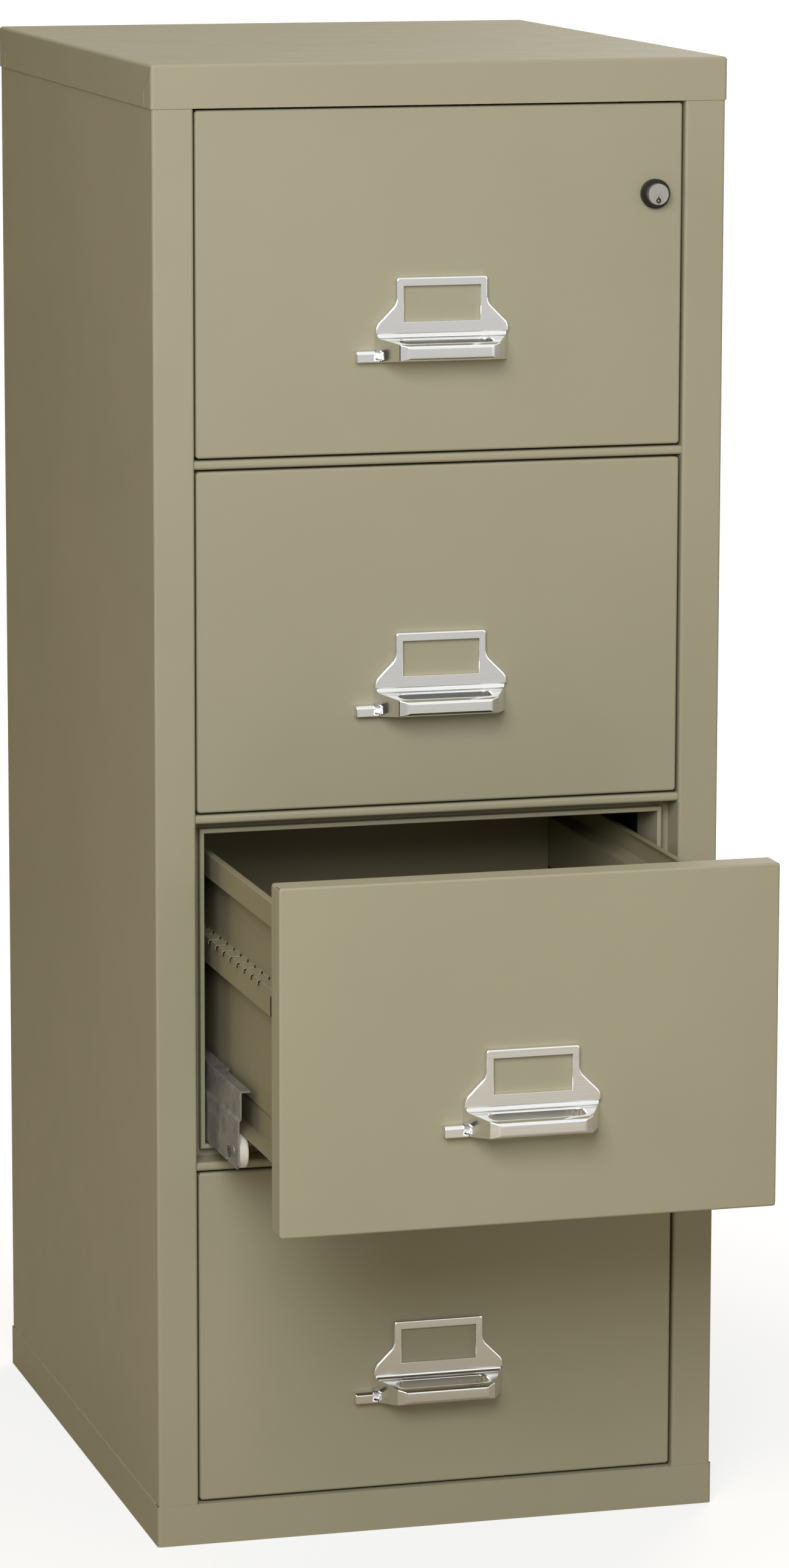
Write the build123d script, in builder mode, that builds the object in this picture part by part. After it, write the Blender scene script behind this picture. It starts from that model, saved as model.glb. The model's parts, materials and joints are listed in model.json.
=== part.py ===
"""Four-drawer fireproof filing cabinet, legal width, 25 inches deep.

Millimetres. X to the right, Y to the back, Z up. The origin is the centre of the
base on the floor, and the drawers open towards -Y. Drawers are numbered from the top.
"""

import os

from build123d import *

os.makedirs("parts", exist_ok=True)

# Overall size, over the cap and the plinth
cabinet_width = 528.6
cabinet_depth = 636.6
cabinet_height = 1339.85
drawer_count = 4

# How far a cut runs past the face that it opens
cut_over = 1.0

# Outer shell: bent sheet, a lid-like cap on top and a tray as plinth
shell_sheet = 1.2
bend_radius = 2.5
cap_height = 38.4
cap_radius = 3.0
plinth_height = 38.0
back_return = 18.0
shell_seam = 0.2
cap_air = 2.0

# Stiles beside the opening and rails between the drawers
stile_width = 38.3
rail_height = 8.0
rail_radius = 3.0
gap_side = 2.1
gap_level = 2.0

# Fire joint: a tongue round each compartment stands in a groove of the drawer head
face_recess = 3.0
pan_depth = 26.0
pan_clearance = 2.0
jamb_side = 13.0
jamb_level = 12.2
tongue_length = 9.2
tongue_thickness = 4.3
tongue_round = 1.2
throat_depth = 59.0
groove_clearance = 1.5
plug_clearance = 2.0
head_depth = 46.1
head_corner = 3.0
pan_edge = 2.2
plug_corner = 4.0

# Insulated walls and the steel liner of each compartment
insulation_thickness = 44.0
insulation_clearance = 0.6
liner_sheet = 0.9
liner_step = 4.0
stile_channel = 12.8

# One drawer is shown part open; its slides follow at a share of its way
open_distance = 290.0
slide_share = 0.5

# Sliding members: galvanised strips with a roller at each end
slide_sheet = 1.6
slide_side_gap = 1.4
slide_floor_gap = 3.0
slide_bend = 1.8
slide_height = 71.6
slide_joggle = 2.0
joggle_level = 44.0
joggle_rise = 2.5
slide_flange = 8.0
slide_flange_wide = 11.0
slide_notch_back = 88.0
slide_head_gap = 4.0
slide_back_gap = 10.0
nose_cut = 5.0
foot_notch_back = 36.0
foot_notch_length = 6.0
foot_notch_height = 2.5

# Rollers and their pins
roller_side_gap = 0.3
running_fit = 0.05
roller_edge = 0.8
pin_radius = 3.0
front_roller_radius = 15.5
front_roller_width = 8.8
front_roller_level = 14.0
front_roller_set = 17.0
rivet_radius = 5.0
rivet_height = 1.2
rivet_proud = 0.7
tail_roller_radius = 11.0
tail_roller_width = 7.4
tail_roller_inset = 22.0
rear_roller_radius = 11.0
rear_roller_width = 5.4
rear_roller_level = 60.0
rear_roller_inset = 20.0

# Channels in the cabinet and the nylon guides at their front
channel_sheet = 1.2
channel_front_gap = 6.0
channel_back_gap = 9.0
channel_slide_gap = 0.6
glide_length = 30.0
glide_wall = 2.0
glide_play = 0.4
glide_lap = 4.0
glide_front_gap = 8.0

# Drawer tub
tub_sheet = 1.0
floor_sheet = 1.2
tub_height = 228.2
tub_back_gap = 9.0
wing_half_gap = 8.0
foot_half_gap = 22.0
wall_offset = 1.5
wall_bend = 1.2
crease_level = 25.0
crease_rise = 3.0
rib_depth = 10.0
rib_bottom = 124.8
rib_top = 151.1
rib_draft = 1.0
band_drop = 28.2
band_slope = 6.0
hem_width = 6.0
front_ear = 15.0
back_wall_drop = 24.0

# Handle with its card window and finger loop
handle_drop = 149.4
handle_height = 75.8
handle_top_width = 84.5
handle_base_width = 123.0
plate_thickness = 5.0
plate_corner = 3.3
plate_edge = 1.0
neck_drop = 23.4
flare_drop = 42.6
flare_radius = 12.0
window_width = 71.0
window_height = 31.9
window_drop = 7.8
grip_reach = 35.5
grip_front_width = 92.6
grip_back_height = 25.8
grip_front_height = 15.0
grip_front_lift = 3.8
grip_bevel_depth = 4.5
grip_bevel_side = 7.6
grip_bevel_level = 2.0
shelf_radius = 3.8
shelf_recess = 0.8
finger_width = 85.0
finger_depth = 18.0
finger_corner = 7.0
finger_setback = 9.6
finger_edge = 1.0
stud_radius = 2.5
stud_length = 9.0
stud_spacing = 104.0
stud_level = 20.0
nut_across = 8.0
nut_height = 4.0
nut_room = 1.2
core_hole_clearance = 0.6

# Thumb latch: a tab left of the handle draws a bolt out of a window in the tongue
latch_travel = 8.0
tab_width = 17.6
tab_height = 10.4
tab_reach = 8.0
tab_gap = 0.6
tab_slope = 2.4
tab_edge = 1.0
tab_level = 6.2
lip_height = 2.4
stem_width = 5.0
link_height = 12.0
link_thickness = 2.5
link_gap = 0.5
link_play = 1.0
post_width = 6.0
bolt_length = 26.0
bolt_thickness = 4.4
bolt_lip = 2.6
bolt_reach = 1.4
bolt_bevel = 3.0
bolt_play = 0.5
sheet_play = 0.3

# Push lock in the top drawer and the bar that it moves
lock_inset = 25.9
lock_drop = 80.5
collar_radius = 13.2
collar_reach = 6.0
collar_edge = 1.0
collar_neck_radius = 11.8
plunger_radius = 9.6
plunger_reach = 7.0
plunger_edge = 0.5
plunger_travel = 7.0
plug_radius = 4.5
plug_length = 12.0
plug_offset = 4.2
keyhole_radius = 2.4
keyhole_drop = 5.5
keyhole_depth = 9.0
keyway_width = 3.2
keyway_rise = 4.5
key_pin_radius = 0.8
key_pin_set = 0.8
key_slit_width = 0.9
key_slit_depth = 2.0
arm_thickness = 4.0
arm_height = 14.0
arm_setback = 1.0
ramp_lead = 1.5
ramp_gap = 0.4
ramp_foot = 8.0
bar_thickness = 3.0
bar_width = 14.0
bar_play = 0.3
bar_back_gap = 2.9
bar_foot = 22.0
bar_head = 20.0
lug_level = 120.0
lug_height = 5.0
lug_length = 4.0
lug_reach = 4.4
lug_play = 0.5
hook_thickness = 2.5
guide_height = 12.0
guide_level = 250.0
top_guide_level = 60.0

# Worked out from the sizes above
front_y = -cabinet_depth / 2 + shell_sheet
back_y = cabinet_depth / 2 - shell_sheet
body_half = cabinet_width / 2 - shell_sheet
body_top = cabinet_height - shell_sheet - cap_air
opening_half = cabinet_width / 2 - stile_width
opening_bottom = plinth_height
opening_top = cabinet_height - cap_height
drawer_pitch = (opening_top - opening_bottom + rail_height) / drawer_count
cell_height = drawer_pitch - rail_height
open_drawer = drawer_count - 1

face_y = front_y + face_recess
pan_back_y = face_y + pan_depth
step_y = pan_back_y + pan_clearance
tongue_front_y = step_y - tongue_length
groove_floor_y = tongue_front_y - groove_clearance
throat_back_y = tongue_front_y + throat_depth
head_back_y = face_y + head_depth
front_half = opening_half - gap_side
clear_half = opening_half - jamb_side
throat_half = clear_half + shell_sheet
plug_half = clear_half - plug_clearance
liner_half = clear_half + liner_step
liner_outer_half = liner_half + liner_sheet
shell_inner_half = body_half - shell_sheet - insulation_clearance
shell_inner_back = back_y - shell_sheet - insulation_clearance
liner_outer_back = back_y - shell_sheet - insulation_thickness
liner_back_y = liner_outer_back - liner_sheet

web_low_out = clear_half - slide_side_gap
web_low_in = web_low_out - slide_sheet
web_high_out = web_low_out - slide_joggle
web_high_in = web_high_out - slide_sheet
slide_front_y = head_back_y + slide_head_gap
slide_back_y = liner_back_y - slide_back_gap
front_roller_y = slide_front_y + front_roller_set
rear_roller_y = slide_back_y - rear_roller_inset
tub_back_y = liner_back_y - tub_back_gap
tail_roller_y = tub_back_y - tail_roller_inset
wing_half = clear_half - wing_half_gap
foot_half = clear_half - foot_half_gap
tub_half = foot_half + wall_offset

lock_x = front_half - lock_inset
bar_in = opening_half + shell_sheet + bar_play
bar_out = bar_in + bar_thickness
bar_back_y = step_y - bar_back_gap
bar_front_y = bar_back_y - bar_width
lug_back_y = pan_back_y - hook_thickness - lug_play
lug_front_y = lug_back_y - lug_length
lug_tip = front_half - lug_reach
latch_y = face_y + shell_sheet + link_gap
tab_right = -handle_base_width / 2 - tab_gap
tab_centre = tab_right - tab_width / 2
bolt_tip = clear_half + tongue_thickness + bolt_reach
bolt_left = bolt_tip - bolt_length
bolt_front_y = tongue_front_y + bolt_lip
bolt_back_y = bolt_front_y + bolt_thickness
bar_room = plunger_travel + 2 * lug_play


def cell_bottom(n):
    """Lower edge of the opening of drawer n, on the plinth or a rail."""
    return opening_bottom + (drawer_count - n) * drawer_pitch


def clear_bottom(n):
    return cell_bottom(n) + jamb_level


def clear_top(n):
    return cell_bottom(n) + cell_height - jamb_level


def head_bottom(n):
    return cell_bottom(n) + gap_level


def head_top(n):
    return cell_bottom(n) + cell_height - gap_level


def slide_bottom(n):
    return clear_bottom(n) + slide_floor_gap


def floor_level(n):
    """Underside of the drawer's floor, on top of the front rollers."""
    return slide_bottom(n) + front_roller_level + front_roller_radius + roller_side_gap


def tail_roller_z(n):
    return slide_bottom(n) + slide_height - slide_sheet - roller_side_gap - tail_roller_radius


def handle_base(n):
    return head_top(n) - handle_drop - handle_height


def latch_z(n):
    return handle_base(n) + tab_level


def lug_z(n):
    return cell_bottom(n) + lug_level


def out(n):
    """How far drawer n stands open as drawn."""
    return open_distance if n == open_drawer else 0.0


lock_z = head_top(1) - lock_drop


def wall_plane(y):
    """A plane across the cabinet at depth y; extruding it goes towards the front."""
    return Plane.XZ.offset(-y)


def across(low, high):
    """Rectangle between two corners of the sketch's own plane."""
    with Locations(((low[0] + high[0]) / 2, (low[1] + high[1]) / 2)):
        Rectangle(high[0] - low[0], high[1] - low[1])


def across_cut(low, high):
    with Locations(((low[0] + high[0]) / 2, (low[1] + high[1]) / 2)):
        Rectangle(high[0] - low[0], high[1] - low[1], mode=Mode.SUBTRACT)


def write(builder, name):
    builder.part.label = name
    export_step(builder.part, f"parts/{name}.step")


# Outer shell

def make_side_panel(name, has_lock_slots):
    """One bent sheet: jamb, stile, side wall and a return at the back. Drawn for +X."""
    with BuildPart() as panel:
        with BuildSketch(Plane.XY.offset(shell_sheet)):
            with BuildLine():
                FilletPolyline(
                    (opening_half, step_y),
                    (opening_half, front_y),
                    (body_half, front_y),
                    (body_half, back_y),
                    (body_half - back_return, back_y),
                    radius=bend_radius,
                )
                offset(amount=shell_sheet, side=Side.LEFT)
            make_face()
        extrude(amount=body_top - shell_sheet)
        if has_lock_slots:
            # Slots in the jamb through which the lugs and the ramp of the lock bar reach
            with BuildSketch(Plane.YZ.offset(opening_half - cut_over)):
                for n in range(1, drawer_count + 1):
                    across(
                        (lug_front_y - 2 * lug_play, lug_z(n) - lug_height / 2 - bar_room),
                        (lug_back_y + 2 * lug_play, lug_z(n) + lug_height / 2 + 2 * lug_play),
                    )
                across(
                    (ramp_front_y - 2 * lug_play, ramp_bottom - bar_room),
                    (ramp_back_y + 2 * lug_play, ramp_top + 2 * lug_play),
                )
            extrude(amount=shell_sheet + 2 * cut_over, mode=Mode.SUBTRACT)
        else:
            mirror(about=Plane.YZ, mode=Mode.REPLACE)
    write(panel, name)


def make_back_panel():
    half = body_half - back_return - shell_seam
    with BuildPart() as back_panel:
        with BuildSketch(wall_plane(back_y)):
            across((-half, shell_sheet), (half, body_top))
        extrude(amount=shell_sheet)
    write(back_panel, "back_panel")


def make_top_cap():
    with BuildPart() as top_cap:
        with BuildSketch(Plane.XY.offset(opening_top)):
            Rectangle(cabinet_width, cabinet_depth)
        extrude(amount=cap_height)
        fillet(top_cap.edges().filter_by(Axis.Z), cap_radius)
        fillet(top_cap.faces().sort_by(Axis.Z)[-1].edges(), cap_radius)
        offset(amount=-shell_sheet, openings=top_cap.faces().sort_by(Axis.Z)[0])
    write(top_cap, "top_cap")


def make_base_plinth():
    with BuildPart() as base_plinth:
        with BuildSketch():
            Rectangle(cabinet_width, cabinet_depth)
        extrude(amount=plinth_height)
        fillet(base_plinth.edges().filter_by(Axis.Z), cap_radius)
        offset(amount=-shell_sheet, openings=base_plinth.faces().sort_by(Axis.Z)[-1])
    write(base_plinth, "base_plinth")


def make_front_frame():
    """Welded frame behind the drawer heads: step plate, tongues and throats."""
    plate_half = opening_half + shell_sheet
    with BuildPart() as front_frame:
        with BuildSketch(wall_plane(step_y + shell_sheet)):
            across((-plate_half, opening_bottom - shell_sheet), (plate_half, opening_top + shell_sheet))
            for n in range(1, drawer_count + 1):
                across_cut((-clear_half, clear_bottom(n)), (clear_half, clear_top(n)))
        extrude(amount=shell_sheet)
        with BuildSketch(wall_plane(step_y)):
            for n in range(1, drawer_count + 1):
                across(
                    (-clear_half - tongue_thickness, clear_bottom(n) - tongue_thickness),
                    (clear_half + tongue_thickness, clear_top(n) + tongue_thickness),
                )
            for n in range(1, drawer_count + 1):
                across_cut((-clear_half, clear_bottom(n)), (clear_half, clear_top(n)))
        extrude(amount=tongue_length)
        lips = front_frame.faces().filter_by(Axis.Y).group_by(Axis.Y)[0]
        fillet(lips.edges(), tongue_round)
        # Windows in the right-hand tongues for the latch bolts
        with BuildSketch(Plane.YZ.offset(clear_half)):
            for n in range(1, drawer_count + 1):
                across(
                    (bolt_front_y - bolt_play, latch_z(n) - link_height / 2 - bolt_play),
                    (step_y, latch_z(n) + link_height / 2 + bolt_play),
                )
        extrude(amount=tongue_thickness, mode=Mode.SUBTRACT)
        with BuildSketch(wall_plane(throat_back_y)):
            for n in range(1, drawer_count + 1):
                across(
                    (-throat_half, clear_bottom(n) - shell_sheet),
                    (throat_half, clear_top(n) + shell_sheet),
                )
            for n in range(1, drawer_count + 1):
                across_cut((-clear_half, clear_bottom(n)), (clear_half, clear_top(n)))
        extrude(amount=throat_back_y - step_y)
        with BuildSketch(wall_plane(step_y)):
            across((-opening_half, opening_top), (opening_half, opening_top + shell_sheet))
            across((-opening_half, opening_bottom - shell_sheet), (opening_half, opening_bottom))
        extrude(amount=step_y - front_y)
    write(front_frame, "front_frame")


def make_divider_rails():
    """Folded channels between the drawers, rounded at the front and open at the back."""
    with BuildPart() as divider_rails:
        for n in range(1, drawer_count):
            low = cell_bottom(n) - rail_height
            high = cell_bottom(n)
            with BuildSketch(Plane.YZ.offset(-opening_half)):
                with BuildLine():
                    FilletPolyline(
                        (step_y, low),
                        (face_y, low),
                        (face_y, high),
                        (step_y, high),
                        radius=rail_radius,
                    )
                    offset(amount=shell_sheet, side=Side.RIGHT)
                make_face()
            extrude(amount=2 * opening_half)
    write(divider_rails, "divider_rails")


# Insulation and liners

def make_insulation_sides():
    """Cast walls with a thicker nose at the throat and a leg in each stile."""
    stile_in = opening_half + shell_sheet + stile_channel
    stile_front = front_y + shell_sheet + insulation_clearance
    with BuildPart() as insulation_sides:
        with BuildSketch(Plane.XY.offset(shell_sheet)):
            across((liner_outer_half, step_y + shell_sheet), (shell_inner_half, liner_outer_back))
            across((throat_half, step_y + shell_sheet), (shell_inner_half, throat_back_y))
            across((stile_in, stile_front), (shell_inner_half, step_y + shell_sheet))
            mirror(about=Plane.YZ)
        extrude(amount=body_top - shell_sheet)
    write(insulation_sides, "insulation_sides")


def make_insulation_back():
    with BuildPart() as insulation_back:
        with BuildSketch(wall_plane(shell_inner_back)):
            across((-shell_inner_half, shell_sheet), (shell_inner_half, body_top))
        extrude(amount=shell_inner_back - liner_outer_back)
    write(insulation_back, "insulation_back")


def make_insulation_shelves():
    """Cast layers over, between and under the compartments."""
    nose_y = step_y + shell_sheet
    front_leg_y = front_y + shell_sheet
    with BuildPart() as insulation_shelves:
        with BuildSketch(Plane.YZ.offset(-liner_outer_half)):
            for n in range(1, drawer_count):
                liner_low = clear_bottom(n) - liner_step - liner_sheet
                liner_high = clear_top(n + 1) + liner_step + liner_sheet
                across((throat_back_y, liner_high), (liner_outer_back, liner_low))
            top_low = clear_top(1) + liner_step + liner_sheet
            floor_high = clear_bottom(drawer_count) - liner_step - liner_sheet
            across((throat_back_y, top_low), (liner_outer_back, body_top))
            across((throat_back_y, shell_sheet), (liner_outer_back, floor_high))
        extrude(amount=2 * liner_outer_half)
        with BuildSketch(Plane.YZ.offset(-throat_half)):
            for n in range(1, drawer_count):
                across(
                    (nose_y, clear_top(n + 1) + shell_sheet),
                    (throat_back_y, clear_bottom(n) - shell_sheet),
                )
            across((nose_y, clear_top(1) + shell_sheet), (throat_back_y, body_top))
            across((nose_y, shell_sheet), (throat_back_y, clear_bottom(drawer_count) - shell_sheet))
            across((front_leg_y, opening_top + shell_sheet), (nose_y, body_top))
            across((front_leg_y, shell_sheet), (nose_y, opening_bottom - shell_sheet))
        extrude(amount=2 * throat_half)
    write(insulation_shelves, "insulation_shelves")


def make_liners():
    """Steel boxes, open at the front, with a lip that meets the throat."""
    with BuildPart() as liners:
        with BuildSketch(wall_plane(liner_outer_back)):
            for n in range(1, drawer_count + 1):
                across(
                    (-liner_outer_half, clear_bottom(n) - liner_step - liner_sheet),
                    (liner_outer_half, clear_top(n) + liner_step + liner_sheet),
                )
        extrude(amount=liner_outer_back - throat_back_y)
        with BuildSketch(wall_plane(liner_back_y)):
            for n in range(1, drawer_count + 1):
                across(
                    (-liner_half, clear_bottom(n) - liner_step),
                    (liner_half, clear_top(n) + liner_step),
                )
        extrude(amount=liner_back_y - throat_back_y - liner_sheet, mode=Mode.SUBTRACT)
        with BuildSketch(wall_plane(throat_back_y + liner_sheet)):
            for n in range(1, drawer_count + 1):
                across((-clear_half, clear_bottom(n)), (clear_half, clear_top(n)))
        extrude(amount=liner_sheet, mode=Mode.SUBTRACT)
    write(liners, "liners")


# Runners in the cabinet

def make_cabinet_rails():
    """Channels on the liner walls, in which the rear rollers of the slides run."""
    inside = rear_roller_radius + roller_side_gap
    flange_tip = web_high_out + channel_slide_gap
    front = throat_back_y + channel_front_gap
    with BuildPart() as cabinet_rails:
        with BuildSketch(wall_plane(liner_back_y - channel_back_gap)):
            for n in range(1, drawer_count + 1):
                level = slide_bottom(n) + rear_roller_level
                across(
                    (flange_tip, level - inside - channel_sheet),
                    (liner_half, level + inside + channel_sheet),
                )
                across_cut((flange_tip, level - inside), (liner_half - channel_sheet, level + inside))
            mirror(about=Plane.YZ)
        extrude(amount=liner_back_y - channel_back_gap - front)
    write(cabinet_rails, "cabinet_rails")


def make_rail_glides():
    """Grooved nylon blocks on the liner floor that carry the slides' lower edges."""
    slot_in = web_low_in - glide_play
    slot_out = web_low_out + glide_play
    front = throat_back_y + glide_front_gap
    with BuildPart() as rail_glides:
        with BuildSketch(wall_plane(front + glide_length)):
            for n in range(1, drawer_count + 1):
                across(
                    (slot_in - glide_wall, clear_bottom(n) - liner_step),
                    (slot_out + glide_wall, slide_bottom(n) + glide_lap),
                )
                across_cut(
                    (slot_in, slide_bottom(n) - roller_side_gap),
                    (slot_out, slide_bottom(n) + glide_lap),
                )
            mirror(about=Plane.YZ)
        extrude(amount=glide_length)
    write(rail_glides, "rail_glides")


# Drawer heads

def make_front_panel(n):
    """Steel pan of the drawer head, with holes for the handle, the latch and the lock."""
    shift = out(n)
    low = head_bottom(n)
    high = head_top(n)
    stud_z = handle_base(n) + stud_level
    slot_right = tab_centre + stem_width / 2 + sheet_play
    slot_left = tab_centre - stem_width / 2 - latch_travel - sheet_play
    with BuildPart() as front_panel:
        with BuildSketch(wall_plane(pan_back_y - shift)):
            across((-front_half, low), (front_half, high))
        extrude(amount=pan_depth)
        fillet(front_panel.edges().filter_by(Axis.Y), head_corner)
        fillet(front_panel.faces().sort_by(Axis.Y)[0].edges(), pan_edge)
        with BuildSketch(wall_plane(pan_back_y - shift)):
            across(
                (-front_half + shell_sheet, low + shell_sheet),
                (front_half - shell_sheet, high - shell_sheet),
            )
            fillet(vertices(), head_corner - shell_sheet)
        extrude(amount=pan_depth - shell_sheet, mode=Mode.SUBTRACT)
        with BuildSketch(wall_plane(face_y + shell_sheet - shift)):
            with Locations((-stud_spacing / 2, stud_z), (stud_spacing / 2, stud_z)):
                Circle(stud_radius + sheet_play)
            across(
                (slot_left, latch_z(n) - stem_width / 2 - sheet_play),
                (slot_right, latch_z(n) + stem_width / 2 + sheet_play),
            )
            if n == 1:
                with Locations((lock_x, lock_z)):
                    Circle(collar_neck_radius)
        extrude(amount=shell_sheet, mode=Mode.SUBTRACT)
        with BuildSketch(Plane.YZ.offset(front_half - 2 * shell_sheet)):
            # Hooked notch for the lock bar's lug: in from the back edge, then down
            across(
                (lug_front_y - lug_play - shift, lug_z(n) - lug_height / 2 - 2 * lug_play),
                (pan_back_y - shift, lug_z(n) + lug_height / 2 + 2 * lug_play),
            )
            across(
                (lug_front_y - lug_play - shift, lug_z(n) - lug_height / 2 - bar_room),
                (lug_back_y + lug_play - shift, lug_z(n)),
            )
            if n == 1:
                across(
                    (ramp_front_y - 2 * lug_play, ramp_bottom - bar_room),
                    (pan_back_y, ramp_top + 2 * lug_play),
                )
        extrude(amount=3 * shell_sheet, mode=Mode.SUBTRACT)
    write(front_panel, f"front_panel_{n}")


def make_front_core(n):
    """Cast core of the head: a wide slab in the pan and a plug behind the groove."""
    shift = out(n)
    wide = front_half - shell_sheet
    plug = plug_half - liner_sheet
    plug_low = clear_bottom(n) + plug_clearance + liner_sheet
    plug_high = clear_top(n) - plug_clearance - liner_sheet
    stud_z = handle_base(n) + stud_level
    stud_deep = stud_length - shell_sheet + core_hole_clearance
    link_deep = link_gap + link_thickness + link_play
    slot_left = tab_centre - stem_width / 2 - latch_travel - link_play
    with BuildPart() as front_core:
        with BuildSketch(wall_plane(groove_floor_y - shift)):
            across(
                (-wide, head_bottom(n) + shell_sheet),
                (wide, head_top(n) - shell_sheet),
            )
        extrude(amount=groove_floor_y - face_y - shell_sheet)
        fillet(front_core.edges().filter_by(Axis.Y), head_corner - shell_sheet)
        with BuildSketch(wall_plane(head_back_y - liner_sheet - shift)):
            across((-plug, plug_low), (plug, plug_high))
            fillet(vertices(), plug_corner)
        extrude(amount=head_back_y - liner_sheet - groove_floor_y)
        with BuildSketch(wall_plane(face_y + shell_sheet + stud_deep - shift)):
            with Locations((-stud_spacing / 2, stud_z), (stud_spacing / 2, stud_z)):
                Circle(nut_across / 2 + nut_room)
        extrude(amount=stud_deep, mode=Mode.SUBTRACT)
        # Channel of the latch link, and the deeper pocket of its post and bolt
        with BuildSketch(wall_plane(face_y + shell_sheet + link_deep - shift)):
            across(
                (slot_left, latch_z(n) - link_height / 2 - link_play),
                (bolt_left + post_width + link_play, latch_z(n) + link_height / 2 + link_play),
            )
        extrude(amount=link_deep, mode=Mode.SUBTRACT)
        with BuildSketch(wall_plane(bolt_back_y + link_play - shift)):
            across(
                (bolt_left - latch_travel - link_play, latch_z(n) - link_height / 2 - link_play),
                (plug, latch_z(n) + link_height / 2 + link_play),
            )
        extrude(amount=bolt_back_y + link_play - face_y - shell_sheet, mode=Mode.SUBTRACT)
        if n == 1:
            with BuildSketch(wall_plane(groove_floor_y)):
                across(
                    (lock_x - collar_neck_radius - link_play, lock_z - lock_pocket / 2),
                    (wide, lock_z + lock_pocket / 2),
                )
            extrude(amount=groove_floor_y - face_y - shell_sheet, mode=Mode.SUBTRACT)
    write(front_core, f"front_core_{n}")


def make_inner_panel(n):
    """Steel cover of the plug, open towards the front, with its rim at the groove floor."""
    shift = out(n)
    with BuildPart() as inner_panel:
        with BuildSketch(wall_plane(head_back_y - shift)):
            across(
                (-plug_half, clear_bottom(n) + plug_clearance),
                (plug_half, clear_top(n) - plug_clearance),
            )
            fillet(vertices(), plug_corner)
        extrude(amount=head_back_y - groove_floor_y)
        offset(amount=-liner_sheet, openings=inner_panel.faces().sort_by(Axis.Y)[0])
        with BuildSketch(Plane.YZ.offset(plug_half - 2 * liner_sheet)):
            across(
                (bolt_front_y - bolt_play - shift, latch_z(n) - link_height / 2 - bolt_play),
                (bolt_back_y + bolt_play - shift, latch_z(n) + link_height / 2 + bolt_play),
            )
        extrude(amount=3 * liner_sheet, mode=Mode.SUBTRACT)
    write(inner_panel, f"inner_panel_{n}")


# Drawer tub and slides

def make_drawer_body(n):
    """Welded tub: ribbed side sheets on a floor whose wings run on the rollers."""
    shift = out(n)
    base = floor_level(n)
    top = base + tub_height
    band_low = top - band_drop
    front = head_back_y - shift
    back = tub_back_y - shift
    rib_half = tub_half + rib_depth
    with BuildPart() as drawer_body:
        with BuildSketch(wall_plane(back)):
            with BuildLine():
                FilletPolyline(
                    (foot_half, base),
                    (foot_half, base + crease_level),
                    (tub_half, base + crease_level + crease_rise),
                    (tub_half, base + rib_bottom),
                    (rib_half, base + rib_bottom + rib_draft),
                    (rib_half, base + rib_top),
                    (tub_half, base + rib_top + rib_draft),
                    (tub_half, band_low),
                    (rib_half, band_low + band_slope),
                    (rib_half, top),
                    (rib_half - hem_width, top),
                    radius=wall_bend,
                )
                offset(amount=tub_sheet, side=Side.LEFT)
            make_face()
            mirror(about=Plane.YZ)
        extrude(amount=back - front)
        with BuildSketch(Plane.XY.offset(base)):
            across((-wing_half, front), (wing_half, back))
        extrude(amount=floor_sheet)
        with BuildSketch(wall_plane(back)):
            across((-foot_half, base), (foot_half, top - back_wall_drop))
        extrude(amount=tub_sheet)
        with BuildSketch(wall_plane(front + tub_sheet)):
            across((foot_half - front_ear, base), (foot_half, band_low))
            mirror(about=Plane.YZ)
        extrude(amount=tub_sheet)
        with BuildSketch(Plane.YZ.offset(foot_half - tub_sheet)):
            with Locations((tail_roller_y - shift, tail_roller_z(n))):
                Circle(pin_radius)
        extrude(amount=web_high_in - foot_half + tub_sheet - 2 * roller_side_gap)
        mirror(about=Plane.YZ)
    write(drawer_body, f"drawer_body_{n}")


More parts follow.
